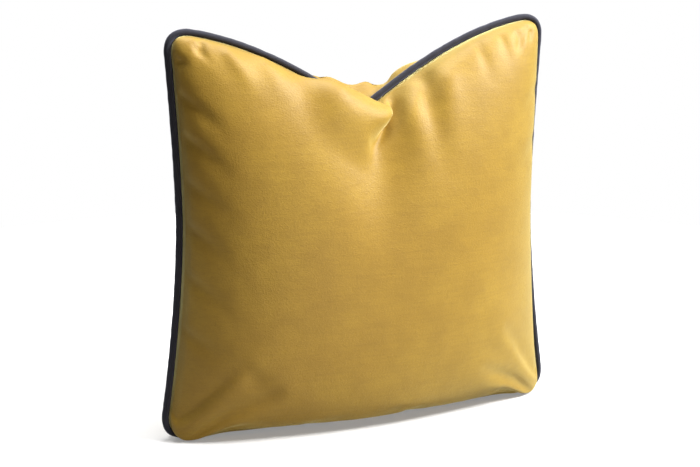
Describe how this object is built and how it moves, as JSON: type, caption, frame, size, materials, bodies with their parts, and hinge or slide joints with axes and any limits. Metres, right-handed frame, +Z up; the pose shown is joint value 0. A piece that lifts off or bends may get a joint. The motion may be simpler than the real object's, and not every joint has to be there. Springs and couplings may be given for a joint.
{
  "type": "throw pillow",
  "caption": "Square velvet throw pillow with contrasting piping and a chopped top edge, standing on its bottom edge, with a zipped cover over a filled insert.",
  "frame": {"origin": "on the floor under the middle of the pillow, in the plane of its piping", "axes": "+X along the bottom edge, to the right as seen from the front; +Y through the thickness, from the front panel to the back panel; +Z up"},
  "size_m": [0.4516, 0.1486, 0.4329],
  "materials": {
    "velvet": "matte",
    "piping": "matte",
    "cord": "matte",
    "insert_cotton": "matte",
    "insert_feather": "matte",
    "zip_tape": "matte",
    "zip_coil": "satin",
    "zip_metal": "satin",
    "label_satin": "satin"
  },
  "bodies": {
    "cushion": {"front_panel": "velvet", "back_panel": "velvet", "piping_cover": "piping", "piping_cord": "cord", "insert_case_front": "insert_cotton", "insert_case_back": "insert_cotton", "insert_fill": "insert_feather", "zip_tape_front": "zip_tape", "zip_tape_back": "zip_tape", "zip_coil_front": "zip_coil", "zip_coil_back": "zip_coil", "zip_top_stop_front": "zip_metal", "zip_top_stop_back": "zip_metal", "zip_bottom_stop": "zip_metal", "care_label": "label_satin"},
    "slider": {"zip_slider": "zip_metal"},
    "pull": {"zip_pull_tab": "zip_metal"}
  },
  "joints": [
    {"name": "zip_slide", "type": "slide", "parent": "cushion", "child": "slider", "axis": [-1, 0, 0], "range_m": [0, 0.306]},
    {"name": "pull_tab_hinge", "type": "hinge", "parent": "slider", "child": "pull", "pos_m": [0.1532, 0.00815, 0.01047], "axis": [0, -1, 0], "range_deg": [0, 180]}
  ]
}
